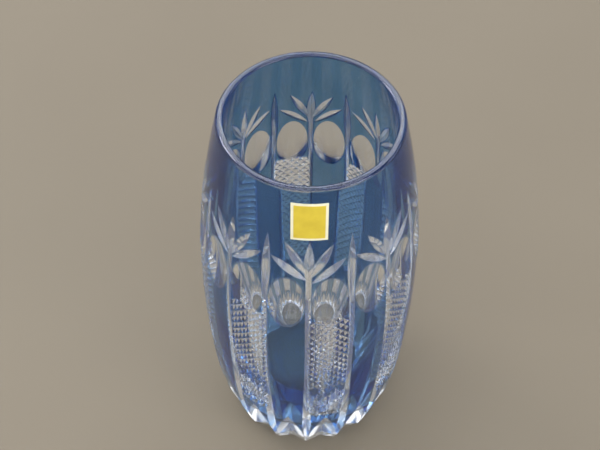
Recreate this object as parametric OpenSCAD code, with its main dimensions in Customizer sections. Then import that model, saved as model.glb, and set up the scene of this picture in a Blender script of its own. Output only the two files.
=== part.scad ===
// Cased crystal vase, cut to clear, with a small gummed label.
// Millimetres. Foot on z = 0, axis on z, front stem and label towards -y.

/* [Blank] */
// Height from the foot to the lip
vase_h = 230; // [226:1:234]
// Outer radius of the lip
lip_r = 45; // [44:0.5:46]
// Outer radius at the widest ring
belly_r = 57.4; // [56.5:0.1:58]
// Height of the widest ring
belly_z = 118; // [114:1:122]
// Outer radius of the foot before the toes are cut
foot_r = 45; // [44:0.5:46]
// Wall at the lip
lip_wall = 3.8; // [3.5:0.1:4.5]
// Wall at the widest ring
belly_wall = 8; // [7:0.5:9]
// Thickness of the base
base_t = 18; // [15:1:22]
// Thickness of the blue casing
casing_t = 0.6; // [0.5:0.1:0.8]

/* [Cutting] */
// Depth of the long mitre cuts at the widest ring
mitre_depth = 1.5; // [1.3:0.1:1.7]
// Depth of the hollow olives
olive_depth = 2.4; // [2.2:0.1:2.6]
// Width of one row of diamonds
diamond_pitch = 3.6; // [3.2:0.1:4]
// Height of the point of each toe
toe_z = 43; // [40:1:46]

/* [Label] */
// Width of the label
label_w = 17.4; // [15:0.2:20]
// Height of the label
label_h = 21.6; // [18:0.2:22]
// Pale border left around the label's face
label_border = 1.3; // [1:0.1:2]

/* [Hidden] */

// The pattern repeats eight times around the axis.
repeats = 8;
step_a = 360 / repeats;
spear_a = step_a / 2;
panel_a = step_a / 4;
front_a = -90;

// Outer profile: one arc above the widest ring, two tangent arcs below it.
upper_arc = (pow(vase_h - belly_z, 2) + pow(belly_r - lip_r, 2)) / (2 * (belly_r - lip_r));
lower_arc = 760;
join_z = 60;
join_a = asin((belly_z - join_z) / lower_arc);
join_r = belly_r - lower_arc * (1 - cos(join_a));
foot_drop = join_r - foot_r;
foot_arc = (pow(foot_drop, 2) + pow(join_z, 2)) / (2 * (foot_drop * cos(join_a) - join_z * sin(join_a)));
foot_arc_x = join_r - foot_arc * cos(join_a);
foot_arc_z = join_z + foot_arc * sin(join_a);

// Inner profile: one arc above, one below, and a rounded corner at the floor.
cavity_r = belly_r - belly_wall;
cavity_lip_r = lip_r - lip_wall;
cavity_up_arc = (pow(vase_h - belly_z, 2) + pow(cavity_r - cavity_lip_r, 2))
    / (2 * (cavity_r - cavity_lip_r));
cavity_low_arc = 330;
floor_fillet = 16;
fillet_z = base_t + floor_fillet;
cavity_low_x = cavity_r - cavity_low_arc;
fillet_x = cavity_low_x + sqrt(pow(cavity_low_arc - floor_fillet, 2) - pow(belly_z - fillet_z, 2));
fillet_top = belly_z - cavity_low_arc * (belly_z - fillet_z) / (cavity_low_arc - floor_fillet);

// Long cuts: one ring-shaped wheel path per stem and per spear.
long_ring = 524;
long_mid_z = 115.4;
long_half_a = 45;
long_section = 4;
stem_top = 182;
spear_cut_top = 178;

// Leaves and spear heads: V-edged wheels.
leaf_half_a = 50;
leaf_wheel = 50;
centre_leaf_wheel = 58;
spear_wheel = 150;
spear_half_a = 42.5;
wheel_section = 4;
leaf_span = 22;
centre_leaf_span = 24;
spear_span = 14;

// Olives: round-edged wheel.
olive_wheel = 90;
olive_edge = 34;
olive_z = 156.6;
olive_span = 20;
olive_section = 5;
olive_half_w = 16;

// Toes: wide V cuts that run out of the foot.
toe_root_r = 40.3;
toe_spread = 3;
toe_open = 16;

// Diamonds.
diamond_top = 135;
diamond_low = toe_z + 4;
diamond_half_a = 8.6;
diamond_row = diamond_pitch * sqrt(2) / 2;
diamond_fill = 0.92;

panel_low = 2;
paper_t = 0.15;
face_t = 0.1;
label_z = 201;
reach = 80;
over = 1;
smooth_fn = 216;
olive_fn = 432;
seam_a = 4;
arc_fn = 720;

// Outer radius at height z.
function outer_r(z) =
    z >= belly_z ? belly_r - upper_arc + sqrt(pow(upper_arc, 2) - pow(z - belly_z, 2))
    : z >= join_z ? belly_r - lower_arc + sqrt(pow(lower_arc, 2) - pow(z - belly_z, 2))
    : foot_arc_x + sqrt(pow(foot_arc, 2) - pow(z - foot_arc_z, 2));

// Tilt of the outer surface from the vertical at height z, leaning in upwards.
function outer_tilt(z) =
    z >= belly_z ? asin((z - belly_z) / upper_arc)
    : z >= join_z ? -asin((belly_z - z) / lower_arc)
    : -asin((foot_arc_z - z) / foot_arc);

// Half section of the blank, moved out by grow.
module outer_section(grow) {
    intersection() {
        translate([0, belly_z]) square([reach, vase_h - belly_z]);
        translate([belly_r - upper_arc + grow, belly_z]) circle(r = upper_arc, $fn = arc_fn);
    }
    intersection() {
        translate([0, join_z]) square([reach, belly_z - join_z]);
        translate([belly_r - lower_arc + grow, belly_z]) circle(r = lower_arc, $fn = arc_fn);
    }
    intersection() {
        square([reach, join_z]);
        translate([foot_arc_x + grow, foot_arc_z]) circle(r = foot_arc, $fn = arc_fn);
    }
}

module blank(grow) {
    rotate([0, 0, seam_a]) rotate_extrude($fn = smooth_fn) outer_section(grow);
}

module cavity_section() {
    intersection() {
        translate([0, belly_z]) square([reach, vase_h - belly_z]);
        translate([cavity_r - cavity_up_arc, belly_z]) circle(r = cavity_up_arc, $fn = arc_fn);
    }
    intersection() {
        translate([0, fillet_top]) square([reach, belly_z - fillet_top]);
        translate([cavity_low_x, belly_z]) circle(r = cavity_low_arc, $fn = arc_fn);
    }
    intersection() {
        translate([fillet_x, base_t]) square([reach, fillet_top - base_t]);
        translate([fillet_x, fillet_z]) circle(r = floor_fillet, $fn = smooth_fn);
    }
    translate([0, base_t]) square([fillet_x, fillet_top - base_t]);
    translate([0, vase_h - over]) square([cavity_lip_r, 2 * over]);
}

module cavity() {
    rotate([0, 0, seam_a]) rotate_extrude($fn = smooth_fn) cavity_section();
}

// One long mitre cut, following the barrel from below the foot up to top_z.
module long_cut(top_z) {
    low_a = asin((-over * 4 - long_mid_z) / long_ring);
    high_a = asin((top_z - long_mid_z) / long_ring);
    translate([belly_r - mitre_depth - long_ring, 0, long_mid_z])
        rotate([90, 0, 0])
            rotate([0, 0, low_a])
                rotate_extrude(angle = high_a - low_a, $fn = arc_fn)
                    polygon([
                        [long_ring, 0],
                        [long_ring + long_section, long_section * tan(long_half_a)],
                        [long_ring + long_section, -long_section * tan(long_half_a)],
                    ]);
}

// Puts a wheel cut on the outer surface at height z, with its long way leaning by lean.
module on_surface(z, lean) {
    translate([outer_r(z), 0, z])
        rotate([0, -outer_tilt(z), 0])
            rotate([-lean, 0, 0])
                children();
}

// The part of a V-edged wheel that meets the glass, sunk by depth below its surface point.
module v_wheel(wheel_r, depth, half_a, span) {
    translate([wheel_r - depth, 0, 0])
        rotate([90, 0, 0])
            rotate([0, 0, 180 - span])
                rotate_extrude(angle = 2 * span, $fn = arc_fn)
                    polygon([
                        [wheel_r, 0],
                        [wheel_r - wheel_section, wheel_section * tan(half_a)],
                        [wheel_r - wheel_section, -wheel_section * tan(half_a)],
                    ]);
}

module olive_cut() {
    translate([olive_wheel - olive_depth, 0, 0])
        rotate([90, 0, 0])
            rotate([0, 0, 180 - olive_span])
                rotate_extrude(angle = 2 * olive_span, $fn = olive_fn)
                    intersection() {
                        translate([olive_wheel - olive_edge, 0]) circle(r = olive_edge, $fn = olive_fn);
                        translate([olive_wheel - olive_section, -olive_half_w])
                            square([olive_section + over, 2 * olive_half_w]);
                    }
}

module toe_cut() {
    toe_lean = atan((outer_r(toe_z) - toe_root_r) / toe_z);
    toe_length = toe_z / cos(toe_lean) + 2 * over;
    translate([toe_root_r, 0, 0])
        rotate([0, toe_lean, 0])
            translate([0, 0, -toe_open / 2])
                linear_extrude(height = toe_length + toe_open)
                    polygon([[0, 0], [toe_open, toe_spread * toe_open], [toe_open, -toe_spread * toe_open]]);
}

// Repeats its children around the axis, offset degrees from each stem.
module around(offset) {
    for (k = [0 : repeats - 1])
        rotate([0, 0, front_a + k * step_a + offset])
            children();
}

module fan_leaf(side, offset, z, lean, depth) {
    around(side * offset) on_surface(z, side * lean) v_wheel(leaf_wheel, depth, leaf_half_a, leaf_span);
}

module crystal_body() {
    color([0.86, 0.9, 0.93, 0.6])
        difference() {
            blank(-casing_t);
            cavity();
            around(0) long_cut(stem_top);
            around(spear_a) long_cut(spear_cut_top);
            around(0) on_surface(185, 0) v_wheel(centre_leaf_wheel, 2.3, leaf_half_a, centre_leaf_span);
            around(spear_a) on_surface(178, 0) v_wheel(spear_wheel, 2.5, spear_half_a, spear_span);
            fan_leaf(1, 6.4, 186, 28, 2.1);
            fan_leaf(-1, 6.4, 186, 28, 2.1);
            fan_leaf(1, 10.4, 180.5, 50, 2.1);
            fan_leaf(-1, 10.4, 180.5, 50, 2.1);
            around(panel_a) on_surface(olive_z, 0) olive_cut();
            around(-panel_a) on_surface(olive_z, 0) olive_cut();
            around(panel_a) toe_cut();
            around(-panel_a) toe_cut();
        }
}

// The blue casing between two heights, before any cutting.
module casing(low_z, high_z) {
    difference() {
        intersection() {
            blank(0);
            translate([-reach, -reach, low_z]) cube([2 * reach, 2 * reach, high_z - low_z]);
        }
        blank(-casing_t);
    }
}

module blue_collar() {
    color([0.1, 0.22, 0.42])
        difference() {
            casing(olive_z, vase_h);
            around(0) long_cut(stem_top);
            around(spear_a) long_cut(spear_cut_top);
            around(0) on_surface(185, 0) v_wheel(centre_leaf_wheel, 2.3, leaf_half_a, centre_leaf_span);
            around(spear_a) on_surface(178, 0) v_wheel(spear_wheel, 2.5, spear_half_a, spear_span);
            fan_leaf(1, 6.4, 186, 28, 2.1);
            fan_leaf(-1, 6.4, 186, 28, 2.1);
            fan_leaf(1, 10.4, 180.5, 50, 2.1);
            fan_leaf(-1, 10.4, 180.5, 50, 2.1);
            around(panel_a) on_surface(olive_z, 0) olive_cut();
            around(-panel_a) on_surface(olive_z, 0) olive_cut();
        }
}

// Wedge of one panel, from the stem to the spear beside it.
module panel_wedge(centre_a, low_z, high_z) {
    rotate([0, 0, centre_a])
        translate([0, 0, low_z])
            linear_extrude(height = high_z - low_z)
                polygon([
                    [0, 0],
                    [reach, reach * tan(panel_a)],
                    [reach, -reach * tan(panel_a)],
                ]);
}

// One island of plain casing, bounded by a stem, a spear, an olive and a toe.
module plain_island(index) {
    stem_at = front_a + (index - 1) * step_a;
    centre_a = stem_at - panel_a;
    difference() {
        intersection() {
            casing(panel_low, olive_z);
            panel_wedge(centre_a, panel_low, olive_z);
        }
        rotate([0, 0, stem_at]) long_cut(stem_top);
        rotate([0, 0, stem_at - spear_a]) long_cut(spear_cut_top);
        rotate([0, 0, centre_a]) on_surface(olive_z, 0) olive_cut();
        rotate([0, 0, centre_a]) toe_cut();
    }
}

// Pyramids of casing left between the crossed cuts of one panel.
module diamond_points(centre_a) {
    rows = floor((diamond_top - diamond_low) / diamond_row);
    for (row = [0 : rows]) {
        z = diamond_low + row * diamond_row;
        pitch_a = diamond_row * 2 / outer_r(z) * 180 / PI;
        shift = row % 2 == 0 ? 0 : pitch_a / 2;
        count = floor(diamond_half_a / pitch_a);
        for (i = [-count - 1 : count])
            if (abs(i * pitch_a + shift) < diamond_half_a)
                rotate([0, 0, centre_a + i * pitch_a + shift])
                    translate([outer_r(z) - casing_t, 0, z])
                        rotate([0, 90 - outer_tilt(z), 0])
                            cylinder(r1 = diamond_row * diamond_fill, r2 = 0, h = casing_t, $fn = 4);
    }
}

module diamond_island(index) {
    centre_a = front_a + (index - 1) * step_a + panel_a;
    stem_at = centre_a - panel_a;
    diamond_points(centre_a);
    difference() {
        intersection() {
            casing(panel_low, diamond_low - diamond_row);
            panel_wedge(centre_a, panel_low, diamond_low - diamond_row);
        }
        rotate([0, 0, stem_at]) long_cut(stem_top);
        rotate([0, 0, stem_at + spear_a]) long_cut(spear_cut_top);
        rotate([0, 0, centre_a]) toe_cut();
    }
}

module blue_panel_1() { color([0.12, 0.2, 0.48]) plain_island(1); }
module blue_panel_2() { color([0.12, 0.2, 0.48]) plain_island(2); }
module blue_panel_3() { color([0.12, 0.2, 0.48]) plain_island(3); }
module blue_panel_4() { color([0.12, 0.2, 0.48]) plain_island(4); }
module blue_panel_5() { color([0.12, 0.2, 0.48]) plain_island(5); }
module blue_panel_6() { color([0.12, 0.2, 0.48]) plain_island(6); }
module blue_panel_7() { color([0.12, 0.2, 0.48]) plain_island(7); }
module blue_panel_8() { color([0.12, 0.2, 0.48]) plain_island(8); }

module blue_diamonds_1() { color([0.2, 0.3, 0.6]) diamond_island(1); }
module blue_diamonds_2() { color([0.2, 0.3, 0.6]) diamond_island(2); }
module blue_diamonds_3() { color([0.2, 0.3, 0.6]) diamond_island(3); }
module blue_diamonds_4() { color([0.2, 0.3, 0.6]) diamond_island(4); }
module blue_diamonds_5() { color([0.2, 0.3, 0.6]) diamond_island(5); }
module blue_diamonds_6() { color([0.2, 0.3, 0.6]) diamond_island(6); }
module blue_diamonds_7() { color([0.2, 0.3, 0.6]) diamond_island(7); }
module blue_diamonds_8() { color([0.2, 0.3, 0.6]) diamond_island(8); }

// A piece of paper wrapped on the collar, between two distances off the glass.
module wrapped_paper(inner, outer, width, low_z, high_z) {
    intersection() {
        difference() {
            blank(outer);
            blank(inner);
        }
        translate([-width / 2, -reach, low_z]) cube([width, reach, high_z - low_z]);
    }
}

module label_backing() {
    color([0.95, 0.93, 0.8]) wrapped_paper(0, paper_t, label_w, label_z, label_z + label_h);
}

module label_face() {
    color([0.87, 0.76, 0.18])
        wrapped_paper(
            paper_t,
            paper_t + face_t,
            label_w - 2 * label_border,
            label_z + label_border,
            label_z + label_h - label_border
        );
}

crystal_body();
blue_collar();
blue_panel_1();
blue_panel_2();
blue_panel_3();
blue_panel_4();
blue_panel_5();
blue_panel_6();
blue_panel_7();
blue_panel_8();
blue_diamonds_1();
blue_diamonds_2();
blue_diamonds_3();
blue_diamonds_4();
blue_diamonds_5();
blue_diamonds_6();
blue_diamonds_7();
blue_diamonds_8();
label_backing();
label_face();
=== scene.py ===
"""Looks of the cut, cased crystal vase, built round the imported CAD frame."""

import math

import bpy
import numpy as np
from mathutils import Matrix, Vector


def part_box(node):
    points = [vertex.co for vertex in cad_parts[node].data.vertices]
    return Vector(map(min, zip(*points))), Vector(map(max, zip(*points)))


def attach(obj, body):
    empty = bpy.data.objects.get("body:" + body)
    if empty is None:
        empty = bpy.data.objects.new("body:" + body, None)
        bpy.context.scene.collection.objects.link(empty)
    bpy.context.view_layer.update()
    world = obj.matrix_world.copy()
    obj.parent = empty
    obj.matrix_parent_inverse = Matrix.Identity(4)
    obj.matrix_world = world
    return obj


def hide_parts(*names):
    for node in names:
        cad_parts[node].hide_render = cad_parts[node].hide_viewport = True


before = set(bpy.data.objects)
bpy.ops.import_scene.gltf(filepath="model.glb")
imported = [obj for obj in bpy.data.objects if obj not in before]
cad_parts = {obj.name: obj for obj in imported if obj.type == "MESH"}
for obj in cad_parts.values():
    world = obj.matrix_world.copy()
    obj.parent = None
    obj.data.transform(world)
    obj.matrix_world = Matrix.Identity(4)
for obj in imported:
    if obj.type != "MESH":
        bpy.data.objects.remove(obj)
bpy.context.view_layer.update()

# ---------------------------------------------------------------- sizes, in millimetres
VASE_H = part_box("crystal_body")[1][2] * 1000
LIP_R, BELLY_R, BELLY_Z, FOOT_R = 45.0, 57.4, 118.0, 45.0
LIP_WALL, BELLY_WALL, BASE_T = 3.8, 8.0, 18.0
CASING_T = 0.42      # blue layer, inside the space of the CAD casing
CASING_DEEP = 0.05   # how far under the polished skin the blue layer starts
TURNS = 256          # steps round the vase
REPEATS = 8
STEP = 45.0          # degrees from one repeat of the pattern to the next
SPEAR_A = STEP / 2   # from a stem to the spear beside it
PANEL_A = STEP / 4   # from a stem to the middle of the panel beside it
FRONT = -90.0        # azimuth of the front stem
TOE_Z = 43.0         # height of the point of each toe
TOE_ROOT_R = 40.3    # radius of the bottom of a toe cut at the foot
LONG_RING = 524.0    # radius of the path of the long mitre cuts
LONG_MID_Z = 115.4
LONG_DEEP = 1.5
LONG_OVERRUN = 4.0   # how far the long cuts run out below the foot
OLIVE_Z = 156.6
COLLAR_LOW = 156.32  # the collar's casing ends here, in the middle of the olives
PLATES_TOP = 156.28  # and the casing of the panels begins here

UPPER_ARC = ((VASE_H - BELLY_Z) ** 2 + (BELLY_R - LIP_R) ** 2) / (2 * (BELLY_R - LIP_R))
LOWER_ARC = 760.0
JOIN_Z = 60.0
JOIN_A = math.asin((BELLY_Z - JOIN_Z) / LOWER_ARC)
JOIN_R = BELLY_R - LOWER_ARC * (1 - math.cos(JOIN_A))
FOOT_DROP = JOIN_R - FOOT_R
FOOT_ARC = (FOOT_DROP ** 2 + JOIN_Z ** 2) / (2 * (FOOT_DROP * math.cos(JOIN_A) - JOIN_Z * math.sin(JOIN_A)))
FOOT_ARC_X = JOIN_R - FOOT_ARC * math.cos(JOIN_A)
FOOT_ARC_Z = JOIN_Z + FOOT_ARC * math.sin(JOIN_A)

CAVITY_R = BELLY_R - BELLY_WALL
CAVITY_LIP_R = LIP_R - LIP_WALL
CAVITY_UP = ((VASE_H - BELLY_Z) ** 2 + (CAVITY_R - CAVITY_LIP_R) ** 2) / (2 * (CAVITY_R - CAVITY_LIP_R))
CAVITY_LOW = 330.0
FILLET = 16.0
FILLET_Z = BASE_T + FILLET
CAVITY_LOW_X = CAVITY_R - CAVITY_LOW
FILLET_X = CAVITY_LOW_X + math.sqrt((CAVITY_LOW - FILLET) ** 2 - (BELLY_Z - FILLET_Z) ** 2)
FILLET_TOP = BELLY_Z - CAVITY_LOW * (BELLY_Z - FILLET_Z) / (CAVITY_LOW - FILLET)


def outer_r(z):
    z = np.asarray(z, float)
    up = BELLY_R - UPPER_ARC + np.sqrt(np.maximum(UPPER_ARC ** 2 - (z - BELLY_Z) ** 2, 0))
    low = BELLY_R - LOWER_ARC + np.sqrt(np.maximum(LOWER_ARC ** 2 - (z - BELLY_Z) ** 2, 0))
    foot = FOOT_ARC_X + np.sqrt(np.maximum(FOOT_ARC ** 2 - (z - FOOT_ARC_Z) ** 2, 0))
    return np.where(z >= BELLY_Z, up, np.where(z >= JOIN_Z, low, foot))


def outer_tilt(z):
    """Angle by which the outward normal points up."""
    z = np.asarray(z, float)
    up = np.arcsin(np.clip((z - BELLY_Z) / UPPER_ARC, -1, 1))
    low = np.arcsin(np.clip((z - BELLY_Z) / LOWER_ARC, -1, 1))
    foot = np.arcsin(np.clip((z - FOOT_ARC_Z) / FOOT_ARC, -1, 1))
    return np.where(z >= BELLY_Z, up, np.where(z >= JOIN_Z, low, foot))


def cavity_r(z):
    z = np.asarray(z, float)
    up = CAVITY_R - CAVITY_UP + np.sqrt(np.maximum(CAVITY_UP ** 2 - (z - BELLY_Z) ** 2, 0))
    low = CAVITY_LOW_X + np.sqrt(np.maximum(CAVITY_LOW ** 2 - (z - BELLY_Z) ** 2, 0))
    fil = FILLET_X + np.sqrt(np.maximum(FILLET ** 2 - (z - FILLET_Z) ** 2, 0))
    return np.where(z >= BELLY_Z, up, np.where(z >= FILLET_TOP, low, fil))


def cavity_tilt(z):
    z = np.asarray(z, float)
    up = np.arcsin(np.clip((z - BELLY_Z) / CAVITY_UP, -1, 1))
    low = np.arcsin(np.clip((z - BELLY_Z) / CAVITY_LOW, -1, 1))
    fil = np.arcsin(np.clip((z - FILLET_Z) / FILLET, -1, 1))
    return np.where(z >= BELLY_Z, up, np.where(z >= FILLET_TOP, low, fil))


# ---------------------------------------------------------------- mesh helpers
def signed_volume(points, faces):
    total = 0.0
    for f in faces:
        a = points[f[0]]
        for i in range(1, len(f) - 1):
            total += np.dot(a, np.cross(points[f[i]], points[f[i + 1]]))
    return total / 6


def outward(points, faces):
    points = np.asarray(points, float)
    if signed_volume(points, faces) < 0:
        faces = [tuple(reversed(f)) for f in faces]
    return points, faces


def lathe(profile, turns):
    """Closed solid of revolution. The profile runs from axis to axis, or closes on itself."""
    on_axis = profile[0][0] < 1e-9
    rings = profile[1:-1] if on_axis else profile
    a = np.arange(turns) * 2 * math.pi / turns
    pts, faces = [], []
    for r, z in rings:
        pts.extend(np.stack([r * np.cos(a), r * np.sin(a), np.full(turns, z)], 1))
    count = len(rings)
    for i in range(count if not on_axis else count - 1):
        j = (i + 1) % count
        for k in range(turns):
            n = (k + 1) % turns
            faces.append((i * turns + k, i * turns + n, j * turns + n, j * turns + k))
    if on_axis:
        first, last = len(pts), len(pts) + 1
        pts.append(np.array([0, 0, profile[0][1]]))
        pts.append(np.array([0, 0, profile[-1][1]]))
        base = (count - 1) * turns
        for k in range(turns):
            n = (k + 1) % turns
            faces.append((first, n, k))
            faces.append((last, base + k, base + n))
    return outward(pts, faces)


def sweep(sections):
    """Closed solid through a row of equal loops."""
    m = len(sections[0])
    pts = [p for s in sections for p in s]
    faces = []
    for i in range(len(sections) - 1):
        for k in range(m):
            n = (k + 1) % m
            faces.append((i * m + k, i * m + n, (i + 1) * m + n, (i + 1) * m + k))
    faces.append(tuple(reversed(range(m))))
    last = (len(sections) - 1) * m
    faces.append(tuple(range(last, last + m)))
    return outward(pts, faces)


def moved(solid, matrix):
    pts, faces = solid
    m = np.array(matrix)
    return pts @ m[:3, :3].T + m[:3, 3], faces


def joined(solids):
    pts, faces, start = [], [], 0
    for p, f in solids:
        pts.append(p)
        faces.extend(tuple(i + start for i in face) for face in f)
        start += len(p)
    return np.concatenate(pts), faces


def make_object(name, solid, scale=0.001):
    mesh = bpy.data.meshes.new(name)
    mesh.from_pydata((np.asarray(solid[0]) * scale).tolist(), [], [tuple(map(int, f)) for f in solid[1]])
    mesh.update()
    obj = bpy.data.objects.new(name, mesh)
    bpy.context.scene.collection.objects.link(obj)
    return obj


def rot(axis, degrees):
    return Matrix.Rotation(math.radians(degrees), 4, axis)


def on_surface(azimuth, z, lean):
    r, tilt = float(outer_r(z)), math.degrees(float(outer_tilt(z)))
    return rot("Z", azimuth) @ Matrix.Translation((r, 0, z)) @ rot("Y", -tilt) @ rot("X", -lean)


# ---------------------------------------------------------------- cutting wheels
def wheel_solid(profile, start, end, steps):
    """Part of a wheel about local z. The profile is a loop of (radius, along the axis)."""
    sections = []
    for i in range(steps + 1):
        a = math.radians(start + (end - start) * i / steps)
        sections.append([(r * math.cos(a), r * math.sin(a), h) for r, h in profile])
    return sweep(sections)


class Wheel:
    """One kind of cut, repeated round the vase: its tool solids and the normal of the glass it leaves."""

    def __init__(self, kind, matrices, centre_a, **size):
        self.kind, self.matrices, self.centre_a, self.size = kind, matrices, centre_a, size

    def solid(self, grow):
        z = self.size
        if self.kind == "disc":
            r, t, k = z["r"] + grow, z["section"], math.tan(math.radians(z["half"]))
            loop = [(r, 0), (r - t, t * k), (r - t, -t * k)]
            part = wheel_solid(loop, 180 - z["span"], 180 + z["span"], z["steps"])
        elif self.kind == "ring":
            r, t, k = z["r"] - grow, z["section"], math.tan(math.radians(z["half"]))
            loop = [(r, 0), (r + t, t * k), (r + t, -t * k)]
            part = wheel_solid(loop, z["low"], z["high"], z["steps"])
        else:
            edge, middle = z["edge"] + grow, z["r"] - z["edge"]
            cut = middle + edge - z["section"]
            reach = math.degrees(math.acos((cut - middle) / edge))
            loop = []
            for i in range(z["around"] + 1):
                a = math.radians(-reach + 2 * reach * i / z["around"])
                loop.append((middle + edge * math.cos(a), edge * math.sin(a)))
            part = wheel_solid(loop, 180 - z["span"], 180 + z["span"], z["steps"])
        return joined([moved(part, m) for m in self.matrices])

    def normals(self, points, centres, which):
        """Outward normals of the glass at points, for faces with these centres cut by copy number which."""
        out = np.zeros_like(points)
        for k, m in enumerate(self.matrices):
            rows = which == k
            if not rows.any():
                continue
            inv = np.array(m.inverted())
            turn = np.array(m)[:3, :3]
            p = points[rows] @ inv[:3, :3].T + inv[:3, 3]
            c = centres[rows] @ inv[:3, :3].T + inv[:3, 3]
            rho = np.hypot(p[:, 0], p[:, 1])
            ux, uy = p[:, 0] / rho, p[:, 1] / rho
            if self.kind == "olive":
                middle = self.size["r"] - self.size["edge"]
                n = np.stack([ux * (middle - rho), uy * (middle - rho), -p[:, 2]], 1)
            else:
                half = math.radians(self.size["half"])
                sign = np.sign(c[:, 2])
                way = -1.0 if self.kind == "disc" else 1.0
                slope = way * math.sin(half)
                n = np.stack([slope * ux, slope * uy, -sign * math.cos(half)], 1)
            n /= np.linalg.norm(n, axis=1)[:, None]
            out[rows] = n @ turn.T
        return out


def wheels_at(offset, z, lean, depth, r, **size):
    """Wheel of radius r, sunk by depth at height z. Each copy wanders a little, as hand cutting does."""
    wander = np.random.default_rng(int(offset * 10 + z * 7 + lean * 3 + 1000))
    matrices = []
    for k in range(REPEATS):
        dz, dlean, dd = wander.normal(0, 0.7), wander.normal(0, 1.3), wander.normal(0, 0.08)
        m = on_surface(FRONT + k * STEP + offset, z + dz, lean + dlean)
        matrices.append(m @ Matrix.Translation((r - depth - dd, 0, 0)) @ rot("X", 90))
    return Wheel(size.pop("kind", "disc"), matrices, FRONT + offset, r=r, **size)


def rings_at(offset, top_z):
    """Long mitre cut from below the foot up to top_z, at every repeat."""
    matrices = []
    for k in range(REPEATS):
        place = Matrix.Translation((BELLY_R - LONG_DEEP - LONG_RING, 0, LONG_MID_Z))
        matrices.append(rot("Z", FRONT + k * STEP + offset) @ place @ rot("X", 90))
    low = math.degrees(math.asin((-LONG_OVERRUN - LONG_MID_Z) / LONG_RING))
    high = math.degrees(math.asin((top_z - LONG_MID_Z) / LONG_RING))
    size = dict(r=LONG_RING, half=45.0, section=4.0, low=low, high=high, steps=60)
    return Wheel("ring", matrices, FRONT + offset, **size)


CENTRE_LEAF = dict(half=50.0, section=4.0, span=24.0, steps=44)
SPEAR = dict(half=42.5, section=4.0, span=14.0, steps=48)
LEAF = dict(half=50.0, section=4.0, span=22.0, steps=40)
OLIVE = dict(kind="olive", edge=34.0, section=5.0, span=20.0, steps=44, around=28)
WHEELS = [rings_at(0, 182.0), rings_at(SPEAR_A, 178.0)]
WHEELS.append(wheels_at(0, 185.0, 0, 2.3, 58.0, **CENTRE_LEAF))
WHEELS.append(wheels_at(SPEAR_A, 178.0, 0, 2.5, 150.0, **SPEAR))
for offset, height, lean in ((6.4, 186.0, 28.0), (10.4, 180.5, 50.0)):
    for side in (1, -1):
        WHEELS.append(wheels_at(side * offset, height, side * lean, 2.1, 50.0, **LEAF))
for side in (1, -1):
    WHEELS.append(wheels_at(side * PANEL_A, OLIVE_Z, 0, 2.4, 90.0, **OLIVE))


def toe_solid(offset, grow):
    """Wide V cut that runs out of the foot, at every repeat."""
    spread, reach, overrun = 3.0, 16.0, 8.0
    lean = math.degrees(math.atan((float(outer_r(TOE_Z)) - TOE_ROOT_R) / TOE_Z))
    length = TOE_Z / math.cos(math.radians(lean)) + 2
    loop = [(0, 0), (reach, spread * reach), (reach, -spread * reach)]
    part = sweep([[(x, y, z) for x, y in loop] for z in (-overrun, length + overrun)])
    solids = []
    for k in range(REPEATS):
        place = Matrix.Translation((TOE_ROOT_R - grow, 0, 0))
        m = rot("Z", FRONT + k * STEP + offset) @ place @ rot("Y", lean)
        solids.append(moved(part, m))
    return joined(solids)


DIAMOND_PITCH = 3.6       # width of one row of diamonds
DIAMOND_DEEP = 1.6        # depth of the grooves between them
DIAMOND_HALF_A = 47.0     # half the angle of a groove
DIAMOND_SIDE_A = 11.0     # the panel reaches this far to each side of its middle, in degrees
DIAMOND_LOW = TOE_Z + 1.5
DIAMOND_TOP = 142.0
DIAMOND_FADE = 2.0        # the grooves grow to their full depth over this height
DIAMOND_ROWS = 30         # grooves of one direction, more than any panel holds
FIRST_ROW = 14.0          # the first one starts this far below the panel
ROW_STEP = 1.6            # length of one step along a groove
SHORTEST_ROW = 1.5


def diamond_solids(way, odd, grow):
    """Crossed mitre cuts of the diamond panels that lean one way, every second one."""
    pitch = DIAMOND_PITCH * math.sqrt(2)
    depth, half, margin = DIAMOND_DEEP + 5 * grow, math.tan(math.radians(DIAMOND_HALF_A)), 0.5
    wander = np.random.default_rng(20 + way + 5 * odd)
    low, high = DIAMOND_LOW, DIAMOND_TOP
    solids = []
    for k in range(REPEATS):
        centre = math.radians(FRONT + k * STEP + PANEL_A)
        for i in range(odd, DIAMOND_ROWS, 2):
            off, sink = wander.normal(0, 0.14), wander.normal(0, 0.07)
            mid = low - FIRST_ROW + i * pitch + off
            side = math.radians(DIAMOND_SIDE_A) * float(outer_r(mid)) if 0 < mid < VASE_H else 9.0
            s0 = max(-side, min((low - mid) * way, (high - mid) * way))
            s1 = min(side, max((low - mid) * way, (high - mid) * way))
            if s1 - s0 < SHORTEST_ROW:
                continue
            steps = max(3, int((s1 - s0) / ROW_STEP))
            sections = []
            for j in range(steps + 1):
                s = s0 + (s1 - s0) * j / steps
                z = mid + way * s
                r, tilt = float(outer_r(z)), float(outer_tilt(z))
                a = centre + s / r
                n = np.array([math.cos(a) * math.cos(tilt), math.sin(a) * math.cos(tilt), math.sin(tilt)])
                across = np.array([-math.sin(a), math.cos(a), 0])
                upward = np.cross(n, across)
                along = (across + way * upward) / math.sqrt(2)
                beside = np.cross(n, along)
                fade = min(1.0, max(0.0, (z - low) / DIAMOND_FADE + 0.02))
                d = (depth + sink) * fade
                p = np.array([r * math.cos(a), r * math.sin(a), z])
                wide = (d + margin) * half
                sections.append([p - n * d, p + n * margin + beside * wide, p + n * margin - beside * wide])
            solids.append(sweep(sections))
    return joined(solids)


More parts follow.
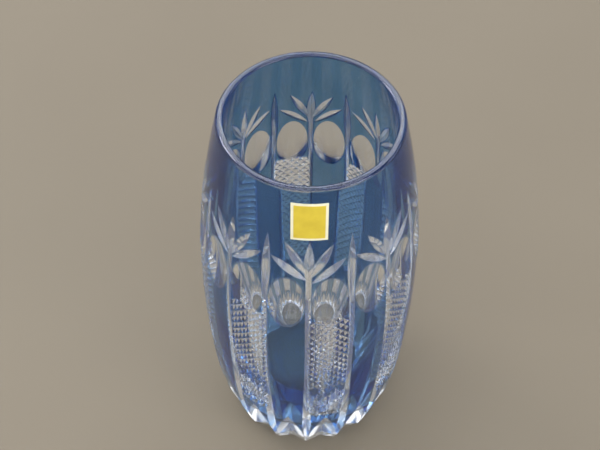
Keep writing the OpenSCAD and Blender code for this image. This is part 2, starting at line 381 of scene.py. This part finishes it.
# ---------------------------------------------------------------- booleans
def cut_with(target, solid, slot):
    """Cuts a solid out of the target. New faces get material number slot."""
    tool = make_object("tool", solid)
    for i in range(slot + 1):
        tool.data.materials.append(SLOTS[i])
    tool.data.polygons.foreach_set("material_index", [slot] * len(tool.data.polygons))
    mod = target.modifiers.new("cut", "BOOLEAN")
    mod.operation, mod.solver, mod.object = "DIFFERENCE", "MANIFOLD", tool
    done = bpy.data.meshes.new_from_object(target.evaluated_get(bpy.context.evaluated_depsgraph_get()))
    target.modifiers.clear()
    target.data = done
    bpy.data.objects.remove(tool)


# Each kind of cut leaves its own material number, and the uncut skin has number 0.
SLOTS = [bpy.data.materials.new("slot_%d" % i) for i in range(16)]
OLIVE_SLOTS, TOE_SLOT, DIAMOND_SLOT = (9, 10), 12, 13
CASING_GROW = 0.04   # the casing is cut this much wider than the glass, so it never stands in a cut


def cut_everything(target, grow):
    for i, wheel in enumerate(WHEELS):
        cut_with(target, wheel.solid(grow), i + 1)
    for offset in (PANEL_A, -PANEL_A):
        cut_with(target, toe_solid(offset, grow), TOE_SLOT)
    for way in (1, -1):
        for odd in (0, 1):
            cut_with(target, diamond_solids(way, odd, grow), DIAMOND_SLOT)


def start_object(name, solid):
    obj = make_object(name, solid)
    for m in SLOTS:
        obj.data.materials.append(m)
    return obj


# ---------------------------------------------------------------- clear body
FOOT_SOFT = 0.5      # bevel under the foot
LIP_MID, LIP_HALF = LIP_R - LIP_WALL / 2, LIP_WALL / 2
LIP_ROUND = 1.3      # height of the rounding of the lip
LIP_GROUND = 0.12    # top part of the rounding that has the ground finish
foot_rings = np.linspace(FOOT_SOFT, JOIN_Z, 22)
wall_rings = np.linspace(JOIN_Z + 2.5, VASE_H - LIP_ROUND, 62)
profile = [(0.0, 0.0), (20.0, 0.0), (float(outer_r(0)) - FOOT_SOFT, 0.0)]
for z in [*foot_rings, *wall_rings]:
    profile.append((float(outer_r(z)), float(z)))
for a in np.linspace(0, math.pi, 15)[1:-1]:
    profile.append((LIP_MID + LIP_HALF * math.cos(a), VASE_H - LIP_ROUND * (1 - math.sin(a))))
for z in np.linspace(VASE_H - LIP_ROUND, FILLET_TOP, 70):
    profile.append((float(cavity_r(z)), float(z)))
for a in np.linspace(math.asin((FILLET_Z - FILLET_TOP) / FILLET), math.pi / 2, 16)[1:]:
    profile.append((FILLET_X + FILLET * math.cos(a), FILLET_Z - FILLET * math.sin(a)))
profile += [(FILLET_X * 0.6, BASE_T), (FILLET_X * 0.25, BASE_T), (0.0, BASE_T)]
body = start_object("crystal_cut_body", lathe(profile, TURNS))
cut_everything(body, 0.0)


NEAR_SKIN = 0.05     # corners this close to the blank's surface belong to it
SKIN_MATCH, CUT_MATCH = 0.97, 0.9   # least cosine between a face and the surface it lies on


def smooth_body(obj):
    """Gives every face of the cut body the true normal of the surface it lies on."""
    mesh = obj.data
    count = len(mesh.vertices)
    co = np.empty(count * 3)
    mesh.vertices.foreach_get("co", co)
    co = co.reshape(-1, 3) * 1000
    loops = np.empty(len(mesh.loops), np.int32)
    mesh.loops.foreach_get("vertex_index", loops)
    polys = len(mesh.polygons)
    start, total = np.empty(polys, np.int32), np.empty(polys, np.int32)
    slot = np.empty(polys, np.int32)
    flat, mid = np.empty(polys * 3), np.empty(polys * 3)
    mesh.polygons.foreach_get("loop_start", start)
    mesh.polygons.foreach_get("loop_total", total)
    mesh.polygons.foreach_get("material_index", slot)
    mesh.polygons.foreach_get("normal", flat)
    mesh.polygons.foreach_get("center", mid)
    flat, mid = flat.reshape(-1, 3), mid.reshape(-1, 3) * 1000
    owner = np.repeat(np.arange(polys), total)
    order = np.concatenate([np.arange(s, s + t) for s, t in zip(start, total)])
    corner_owner = np.empty(len(loops), np.int32)
    corner_owner[order] = owner
    p, c, face_n, kind = co[loops], mid[corner_owner], flat[corner_owner], slot[corner_owner]
    normals = face_n.copy()
    radius = np.hypot(p[:, 0], p[:, 1])
    unit = p[:, :2] / np.maximum(radius, 1e-6)[:, None]
    for radial, tilt, way in ((outer_r, outer_tilt, 1.0), (cavity_r, cavity_tilt, -1.0)):
        t = tilt(p[:, 2])
        n = np.stack([unit[:, 0] * np.cos(t), unit[:, 1] * np.cos(t), np.sin(t)], 1) * way
        near = np.abs(radius - radial(p[:, 2])) < NEAR_SKIN
        rows = (kind == 0) & near & ((n * face_n).sum(1) > SKIN_MATCH)
        normals[rows] = n[rows]
    outward = (radius - LIP_MID) / LIP_HALF ** 2
    upward = (p[:, 2] - VASE_H + LIP_ROUND) / LIP_ROUND ** 2
    n = np.stack([unit[:, 0] * outward, unit[:, 1] * outward, upward], 1)
    n /= np.maximum(np.linalg.norm(n, axis=1), 1e-6)[:, None]
    rows = (kind == 0) & (c[:, 2] > VASE_H - LIP_ROUND)
    normals[rows] = n[rows]
    azimuth = np.degrees(np.arctan2(c[:, 1], c[:, 0]))
    for i, wheel in enumerate(WHEELS):
        rows = kind == i + 1
        if not rows.any():
            continue
        which = np.round((azimuth[rows] - wheel.centre_a) / STEP).astype(int) % REPEATS
        n = wheel.normals(p[rows], c[rows], which)
        good = (n * face_n[rows]).sum(1) > CUT_MATCH
        keep = normals[rows]
        keep[good] = n[good]
        normals[rows] = keep
    mesh.normals_split_custom_set(normals.tolist())
    return slot, mid[:, 2]


slot_of_face, height_of_face = smooth_body(body)


# ---------------------------------------------------------------- blue casing
def shell_plate(centre, low, high):
    """Curved plate of casing between two long cuts, before the rest of the cutting."""
    angles = np.radians(np.linspace(centre - PANEL_A, centre + PANEL_A, 19))
    sections = []
    for z in np.linspace(low, high, 44):
        front, back = float(outer_r(z)) - CASING_DEEP, float(outer_r(z)) - CASING_T
        loop = [(front * math.cos(a), front * math.sin(a), z) for a in angles]
        loop += [(back * math.cos(a), back * math.sin(a), z) for a in angles[::-1]]
        sections.append(loop)
    return sweep(sections)


heights = np.linspace(COLLAR_LOW, VASE_H - LIP_ROUND - 0.1, 34)
loop = [(float(outer_r(z)) - CASING_DEEP, float(z)) for z in heights]
loop += [(float(outer_r(z)) - CASING_T, float(z)) for z in heights[::-1]]
collar = start_object("collar_casing", lathe(loop, TURNS))
cut_everything(collar, CASING_GROW)
PLATES_LOW = 2.0
middles = [FRONT + PANEL_A + SPEAR_A * i for i in range(2 * REPEATS)]
plates = start_object("plates", joined([shell_plate(a, PLATES_LOW, PLATES_TOP) for a in middles]))
cut_everything(plates, CASING_GROW)


def part_of(obj, name, keep):
    """New object from the faces of obj that keep marks."""
    mesh = obj.data
    pts = np.empty(len(mesh.vertices) * 3)
    mesh.vertices.foreach_get("co", pts)
    pts = pts.reshape(-1, 3)
    chosen = [tuple(p.vertices) for p, k in zip(mesh.polygons, keep) if k]
    used = sorted({v for f in chosen for v in f})
    new = {v: i for i, v in enumerate(used)}
    return make_object(name, (pts[used], [tuple(new[v] for v in f) for f in chosen]), 1.0)


centre = np.empty(len(plates.data.polygons) * 3)
plates.data.polygons.foreach_get("center", centre)
centre = centre.reshape(-1, 3)
azimuth = (np.degrees(np.arctan2(centre[:, 1], centre[:, 0])) - FRONT) % 360
wedge = np.floor(azimuth / SPEAR_A).astype(int)
casing_pieces = {"blue_collar": collar}
for k in range(REPEATS):
    after, before = 2 * k, (2 * k - 1) % (2 * REPEATS)
    diamond_casing = part_of(plates, "diamond_casing_%d" % (k + 1), wedge == after)
    panel_casing = part_of(plates, "panel_casing_%d" % (k + 1), wedge == before)
    casing_pieces["blue_diamonds_%d" % (k + 1)] = diamond_casing
    casing_pieces["blue_panel_%d" % (k + 1)] = panel_casing
bpy.data.objects.remove(plates)


# ---------------------------------------------------------------- materials
def material(name):
    mat = bpy.data.materials.new(name)
    mat.use_nodes = True
    nodes, links = mat.node_tree.nodes, mat.node_tree.links
    return mat, nodes, links, nodes["Principled BSDF"]


def node(nodes, kind, **values):
    n = nodes.new(kind)
    for key, value in values.items():
        if key in n.inputs:
            n.inputs[key].default_value = value
        else:
            setattr(n, key.lower(), value)
    return n


def ramp(nodes, stops):
    n = nodes.new("ShaderNodeValToRGB")
    while len(n.color_ramp.elements) < len(stops):
        n.color_ramp.elements.new(0.5)
    for e, (at, colour) in zip(n.color_ramp.elements, stops):
        e.position = at
        e.color = (*colour, 1.0)
    return n


def crystal_material(name, clear, rough, wave, strength):
    """Lead crystal: how clear it is, its polishing haze and its waviness."""
    mat, nodes, links, shader = material(name)
    shader.inputs["Base Color"].default_value = (0.985, 0.992, 0.995, 1)
    shader.inputs["Transmission Weight"].default_value = clear
    shader.inputs["IOR"].default_value = 1.545
    place = nodes.new("ShaderNodeTexCoord")
    haze = node(nodes, "ShaderNodeTexNoise", Scale=90.0, Detail=4.0, Roughness=0.6)
    links.new(place.outputs["Object"], haze.inputs["Vector"])
    spread = node(nodes, "ShaderNodeMapRange")
    spread.inputs["From Min"].default_value = 0.35
    spread.inputs["From Max"].default_value = 0.75
    spread.inputs["To Max"].default_value = rough
    links.new(haze.outputs["Fac"], spread.inputs["Value"])
    links.new(spread.outputs["Result"], shader.inputs["Roughness"])
    ripple = node(nodes, "ShaderNodeTexNoise", Scale=wave, Detail=2.0, Roughness=0.5)
    links.new(place.outputs["Object"], ripple.inputs["Vector"])
    bump = node(nodes, "ShaderNodeBump", Strength=strength, Distance=0.0004)
    links.new(ripple.outputs["Fac"], bump.inputs["Height"])
    links.new(bump.outputs["Normal"], shader.inputs["Normal"])
    return mat


def casing_material(name, thin, thick):
    """Blue glass inside the crystal: it bends no light, and its depth of colour is uneven."""
    mat, nodes, links, shader = material(name)
    shader.inputs["Transmission Weight"].default_value = 0.94
    shader.inputs["IOR"].default_value = 1.0
    shader.inputs["Roughness"].default_value = 0.0
    place = nodes.new("ShaderNodeTexCoord")
    stretch = nodes.new("ShaderNodeMapping")
    stretch.inputs["Scale"].default_value = (1.0, 1.0, 0.35)
    links.new(place.outputs["Object"], stretch.inputs["Vector"])
    cloud = node(nodes, "ShaderNodeTexNoise", Scale=38.0, Detail=3.0, Roughness=0.55)
    links.new(stretch.outputs["Vector"], cloud.inputs["Vector"])
    tint = ramp(nodes, [(0.3, thin), (0.7, thick)])
    links.new(cloud.outputs["Fac"], tint.inputs["Fac"])
    links.new(tint.outputs["Color"], shader.inputs["Base Color"])
    return mat


def paper_material(name, colour, dark, rough):
    mat, nodes, links, shader = material(name)
    place = nodes.new("ShaderNodeTexCoord")
    fibre = node(nodes, "ShaderNodeTexNoise", Scale=900.0, Detail=5.0, Roughness=0.65)
    cloud = node(nodes, "ShaderNodeTexNoise", Scale=140.0, Detail=3.0, Roughness=0.5)
    links.new(place.outputs["Object"], fibre.inputs["Vector"])
    links.new(place.outputs["Object"], cloud.inputs["Vector"])
    tint = ramp(nodes, [(0.35, dark), (0.62, colour)])
    links.new(cloud.outputs["Fac"], tint.inputs["Fac"])
    links.new(tint.outputs["Color"], shader.inputs["Base Color"])
    spread = node(nodes, "ShaderNodeMapRange")
    spread.inputs["To Min"].default_value = rough - 0.1
    spread.inputs["To Max"].default_value = rough + 0.1
    links.new(fibre.outputs["Fac"], spread.inputs["Value"])
    links.new(spread.outputs["Result"], shader.inputs["Roughness"])
    bump = node(nodes, "ShaderNodeBump", Strength=0.35, Distance=0.00005)
    links.new(fibre.outputs["Fac"], bump.inputs["Height"])
    links.new(bump.outputs["Normal"], shader.inputs["Normal"])
    return mat


skin = crystal_material("polished_crystal", 1.0, 0.012, 60.0, 0.05)
cuts = crystal_material("cut_crystal", 0.84, 0.03, 700.0, 0.08)
olives = crystal_material("hollow_olives", 0.94, 0.02, 60.0, 0.03)
diamonds = crystal_material("diamond_cutting", 0.95, 0.02, 700.0, 0.08)
lip = crystal_material("ground_lip", 0.95, 0.08, 300.0, 0.05)
casing = casing_material("blue_casing", (0.24, 0.47, 0.76), (0.16, 0.37, 0.67))

finish = np.where(slot_of_face > 0, 1, 0)
finish[(slot_of_face == OLIVE_SLOTS[0]) | (slot_of_face == OLIVE_SLOTS[1])] = 2
finish[slot_of_face == DIAMOND_SLOT] = 3
finish[height_of_face > VASE_H - LIP_ROUND * LIP_GROUND] = 4
body.data.materials.clear()
for mat in (skin, cuts, olives, diamonds, lip):
    body.data.materials.append(mat)
body.data.polygons.foreach_set("material_index", finish.astype(np.int32))
body.data.update()
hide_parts("crystal_body")
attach(body, "root")

for name, piece in casing_pieces.items():
    piece.data.materials.clear()
    piece.data.materials.append(casing)
    piece.data.polygons.foreach_set("material_index", [0] * len(piece.data.polygons))
    piece.data.update()
    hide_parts(name)
    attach(piece, "root")

paper = paper_material("label_paper", (0.86, 0.83, 0.60), (0.80, 0.76, 0.52), 0.6)
ink = paper_material("label_ink", (0.70, 0.54, 0.050), (0.63, 0.47, 0.041), 0.5)
for name, mat in (("label_backing", paper), ("label_face", ink)):
    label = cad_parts[name]
    for s in label.material_slots:
        s.material = mat
for m in SLOTS:
    bpy.data.materials.remove(m)

# ---------------------------------------------------------------- floor, light, camera
FLOOR_GAP = 0.0003   # keeps the floor clear of the underside of the foot
corners = [[-2, -2, -FLOOR_GAP], [2, -2, -FLOOR_GAP], [2, 3, -FLOOR_GAP], [-2, 3, -FLOOR_GAP]]
floor = make_object("floor", (np.array(corners, float), [(0, 1, 2, 3)]), 1.0)
mat, nodes, links, shader = material("floor_paper")
place = nodes.new("ShaderNodeTexCoord")
cloud = node(nodes, "ShaderNodeTexNoise", Scale=3.0, Detail=3.0, Roughness=0.5)
links.new(place.outputs["Object"], cloud.inputs["Vector"])
tint = ramp(nodes, [(0.3, (0.155, 0.131, 0.097)), (0.7, (0.172, 0.147, 0.109))])
links.new(cloud.outputs["Fac"], tint.inputs["Fac"])
links.new(tint.outputs["Color"], shader.inputs["Base Color"])
shader.inputs["Roughness"].default_value = 0.7
floor.data.materials.append(mat)

scene = bpy.context.scene
world = bpy.data.worlds.new("studio")
scene.world = world
world.use_nodes = True
nodes, links = world.node_tree.nodes, world.node_tree.links
place = nodes.new("ShaderNodeTexCoord")
split = nodes.new("ShaderNodeSeparateXYZ")
links.new(place.outputs["Generated"], split.inputs["Vector"])
half = node(nodes, "ShaderNodeMapRange")
half.inputs["From Min"].default_value = -1.0
links.new(split.outputs["Z"], half.inputs["Value"])
sky = ramp(nodes, [
    (0.45, (0.30, 0.29, 0.27)),
    (0.52, (0.42, 0.42, 0.42)),
    (0.68, (0.75, 0.77, 0.80)),
    (0.90, (1.0, 1.0, 1.0)),
])
links.new(half.outputs["Result"], sky.inputs["Fac"])
# Broad light and dark patches all round the vase, for the cuts to catch.
windows = nodes.new("ShaderNodeTexNoise")
windows.inputs["Scale"].default_value = 2.2
windows.inputs["Detail"].default_value = 0.0
links.new(place.outputs["Generated"], windows.inputs["Vector"])
contrast = ramp(nodes, [(0.44, (0.14, 0.14, 0.15)), (0.57, (2.1, 2.1, 2.1))])
links.new(windows.outputs["Fac"], contrast.inputs["Fac"])
mix = nodes.new("ShaderNodeMix")
mix.data_type, mix.blend_type = "RGBA", "MULTIPLY"
mix.inputs["Factor"].default_value = 1.0
links.new(sky.outputs["Color"], mix.inputs["A"])
links.new(contrast.outputs["Color"], mix.inputs["B"])
links.new(mix.outputs["Result"], nodes["Background"].inputs["Color"])
nodes["Background"].inputs["Strength"].default_value = 1.35


def area_light(name, at, aim, size, power, colour):
    light = bpy.data.lights.new(name, "AREA")
    light.shape, light.size, light.size_y = "RECTANGLE", size[0], size[1]
    light.energy, light.color = power, colour
    obj = bpy.data.objects.new(name, light)
    obj.location = at
    obj.rotation_euler = (Vector(aim) - Vector(at)).to_track_quat("-Z", "Y").to_euler()
    scene.collection.objects.link(obj)


area_light("key", (-0.9, 0.45, 1.2), (0, 0, 0.1), (0.5, 0.5), 7.0, (1.0, 0.98, 0.95))
area_light("fill", (0.9, -0.7, 0.9), (0.25, -0.15, 0.0), (0.6, 0.6), 4.5, (1.0, 0.97, 0.92))

camera = bpy.data.cameras.new("camera")
camera.lens, camera.sensor_width = 78.0, 36.0
camera.clip_start, camera.clip_end = 0.01, 20.0
view = bpy.data.objects.new("camera", camera)
pitch, roll, turn = 0.9006, -0.0061, 0.0107   # radians
CAMERA_AT = (-0.00486, -0.41851, 0.67656)
right = Vector((1, 0, 0))
up = Vector((0, math.sin(pitch), math.cos(pitch)))
across = right * math.cos(roll) - up * math.sin(roll)
above = right * math.sin(roll) + up * math.cos(roll)
back = across.cross(above)
look = Matrix((across, above, back)).transposed().to_4x4()
view.matrix_world = Matrix.Rotation(turn, 4, "Z") @ Matrix.Translation(CAMERA_AT) @ look
scene.collection.objects.link(view)
scene.camera = view

scene.view_settings.view_transform = "Standard"
scene.cycles.transmission_bounces = 60
scene.cycles.glossy_bounces = 60
scene.cycles.max_bounces = 64
scene.cycles.transparent_max_bounces = 16
scene.cycles.use_denoising = True
scene.cycles.sample_clamp_indirect = 8.0
